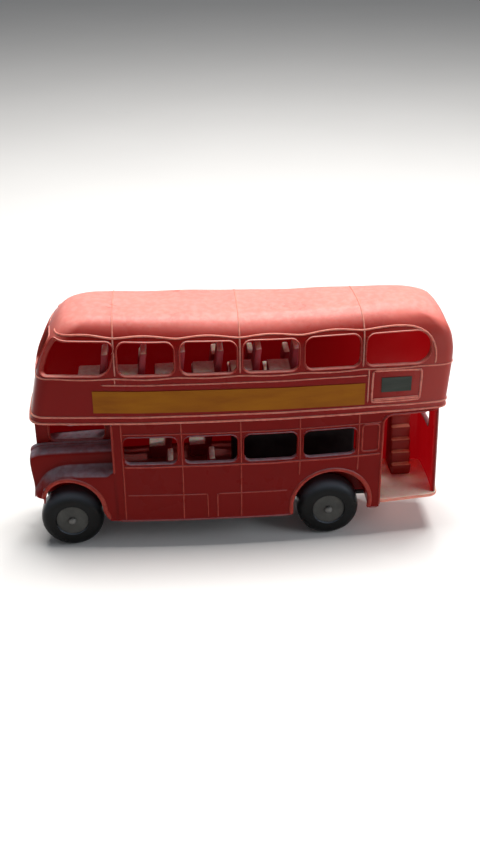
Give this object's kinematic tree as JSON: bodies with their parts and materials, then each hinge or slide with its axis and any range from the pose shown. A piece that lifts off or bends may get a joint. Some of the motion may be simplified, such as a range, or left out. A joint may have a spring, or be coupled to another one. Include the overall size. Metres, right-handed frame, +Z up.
{
  "type": "toy half-cab double-decker bus",
  "caption": "Moulded red plastic toy half-cab double-decker bus with open rear platform, inner decks with seats and free-rolling wheels.",
  "frame": {"origin": "on the floor that the wheels stand on, under the middle of the toy's box", "axes": "+X forward, +Y nearside (the platform's open side), +Z up"},
  "size_m": [0.17, 0.0424, 0.1023],
  "materials": {
    "red_plastic": "worn gloss, faded on the roof",
    "dark_red_plastic": "satin",
    "black_plastic": "satin",
    "wheel_plastic": "worn gloss",
    "yellow_paper": "paper",
    "black_paper": "paper",
    "axle_steel": "dull"
  },
  "bodies": {
    "body": {"upper_body": "red_plastic", "lower_body": "red_plastic", "rear_platform": "red_plastic", "upper_deck": "red_plastic", "lower_deck": "dark_red_plastic", "staircase": "red_plastic", "base_plate": "black_plastic", "motor_housing": "black_plastic", "nearside_strip_label": "yellow_paper", "offside_strip_label": "yellow_paper", "nearside_route_label": "black_paper", "offside_route_label": "black_paper"},
    "front_wheelset": {"front_axle": "axle_steel", "front_nearside_wheel": "wheel_plastic", "front_offside_wheel": "wheel_plastic"},
    "rear_wheelset": {"rear_axle": "axle_steel", "rear_nearside_wheel": "wheel_plastic", "rear_offside_wheel": "wheel_plastic"}
  },
  "joints": [
    {"name": "front_wheels_turn", "type": "hinge", "parent": "body", "child": "front_wheelset", "pos_m": [0.069, 0, 0.0129], "axis": [0, 1, 0], "continuous": true},
    {"name": "rear_wheels_turn", "type": "hinge", "parent": "body", "child": "rear_wheelset", "pos_m": [-0.038, 0, 0.0129], "axis": [0, 1, 0], "continuous": true}
  ]
}
